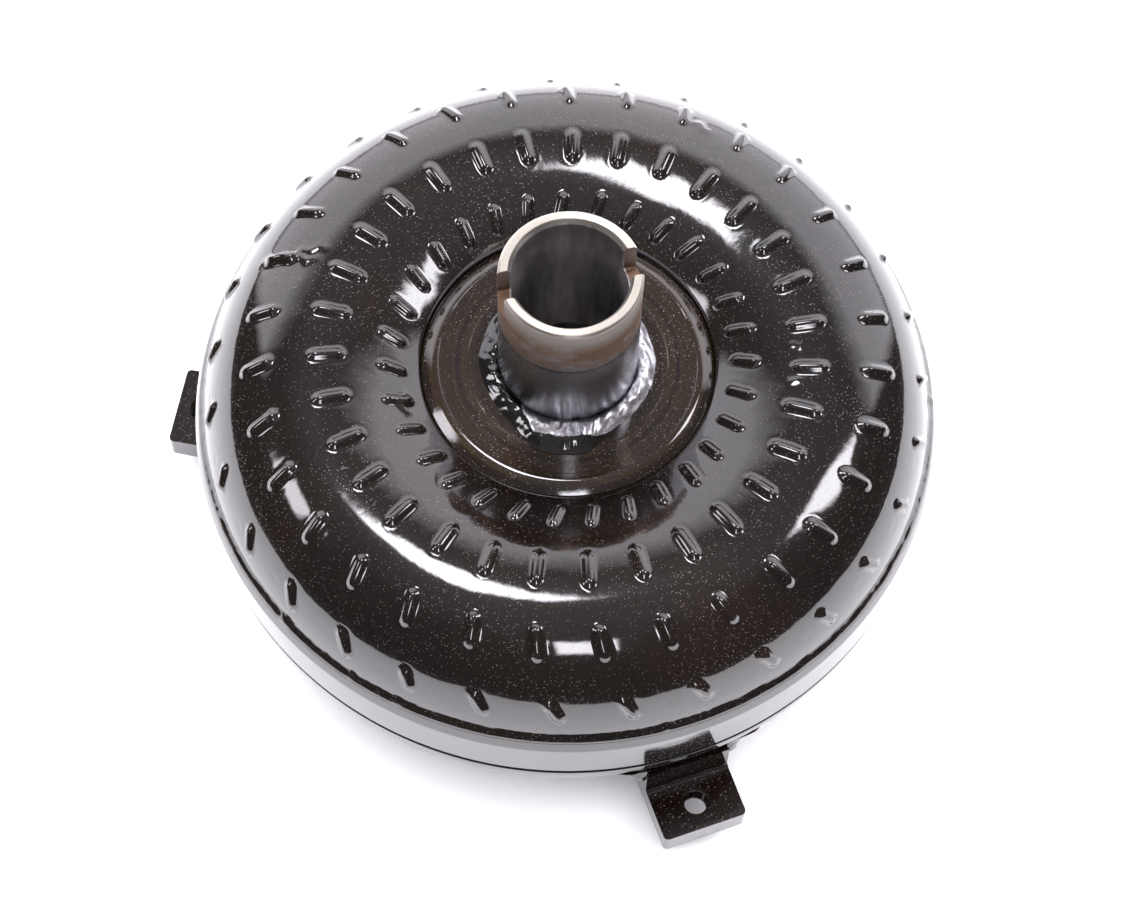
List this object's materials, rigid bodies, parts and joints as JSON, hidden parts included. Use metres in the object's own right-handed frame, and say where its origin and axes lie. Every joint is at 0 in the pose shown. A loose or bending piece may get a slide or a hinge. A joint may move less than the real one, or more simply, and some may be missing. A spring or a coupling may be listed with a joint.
{
  "type": "torque converter",
  "caption": "Welded black torque converter with a splined turbine and one-way-clutch stator inside, a slotted pump drive hub, a crank pilot and tapped flexplate lugs.",
  "frame": {"origin": "centre of the crank pilot's end face", "axes": "+Z along the shaft axis from the crank pilot to the pump drive hub's open end; mounting lug 1 points to -Y, lugs 2 and 3 at 30 and 150 degrees"},
  "size_m": [0.2678, 0.2768, 0.167],
  "materials": {
    "black_paint": "gloss black enamel, slightly dusty",
    "weld_steel": "rough rippled weld bead, thinly painted",
    "turned_steel": "ground steel with fine circumferential marks",
    "pressed_steel": "oiled pressed sheet steel",
    "hard_steel": "hardened ground steel",
    "cast_aluminium": "satin as-cast aluminium",
    "bronze": "satin bronze"
  },
  "bodies": {
    "housing": {"front_cover": "black_paint", "crank_pilot": "turned_steel", "pilot_weld": "weld_steel", "mounting_lug_1": "black_paint", "lug_weld_1a": "black_paint", "lug_weld_1b": "black_paint", "mounting_lug_2": "black_paint", "lug_weld_2a": "black_paint", "lug_weld_2b": "black_paint", "mounting_lug_3": "black_paint", "lug_weld_3a": "black_paint", "lug_weld_3b": "black_paint", "pump_shell": "black_paint", "closure_weld": "black_paint", "pump_blades_and_core": "pressed_steel", "hub_flange": "black_paint", "pump_hub": "turned_steel", "hub_weld": "weld_steel", "cover_thrust_washer": "bronze", "rear_thrust_bearing": "hard_steel"},
    "turbine": {"turbine_shell": "pressed_steel", "turbine_blades_and_core": "pressed_steel", "turbine_hub": "hard_steel", "turbine_rivet_1": "hard_steel", "turbine_rivet_2": "hard_steel", "turbine_rivet_3": "hard_steel", "turbine_rivet_4": "hard_steel", "turbine_rivet_5": "hard_steel", "turbine_rivet_6": "hard_steel", "front_thrust_bearing": "hard_steel"},
    "stator_race": {"stator_inner_race": "hard_steel"},
    "stator": {"stator_wheel": "cast_aluminium", "stator_clutch_cam": "hard_steel", "clutch_roller_1": "hard_steel", "clutch_spring_1": "pressed_steel", "clutch_roller_2": "hard_steel", "clutch_spring_2": "pressed_steel", "clutch_roller_3": "hard_steel", "clutch_spring_3": "pressed_steel", "clutch_roller_4": "hard_steel", "clutch_spring_4": "pressed_steel", "clutch_roller_5": "hard_steel", "clutch_spring_5": "pressed_steel", "clutch_roller_6": "hard_steel", "clutch_spring_6": "pressed_steel", "clutch_roller_7": "hard_steel", "clutch_spring_7": "pressed_steel", "clutch_roller_8": "hard_steel", "clutch_spring_8": "pressed_steel", "clutch_front_retainer": "pressed_steel", "clutch_rear_retainer": "pressed_steel", "stator_snap_ring": "hard_steel", "stator_end_cap": "cast_aluminium"}
  },
  "joints": [
    {"name": "turbine_spin", "type": "hinge", "parent": "housing", "child": "turbine", "pos_m": [0, 0, 0.05], "axis": [0, 0, 1], "continuous": true},
    {"name": "stator_race_spin", "type": "hinge", "parent": "housing", "child": "stator_race", "pos_m": [0, 0, 0.072], "axis": [0, 0, 1], "continuous": true},
    {"name": "stator_freewheel", "type": "hinge", "parent": "stator_race", "child": "stator", "pos_m": [0, 0, 0.072], "axis": [0, 0, 1], "continuous": true}
  ]
}
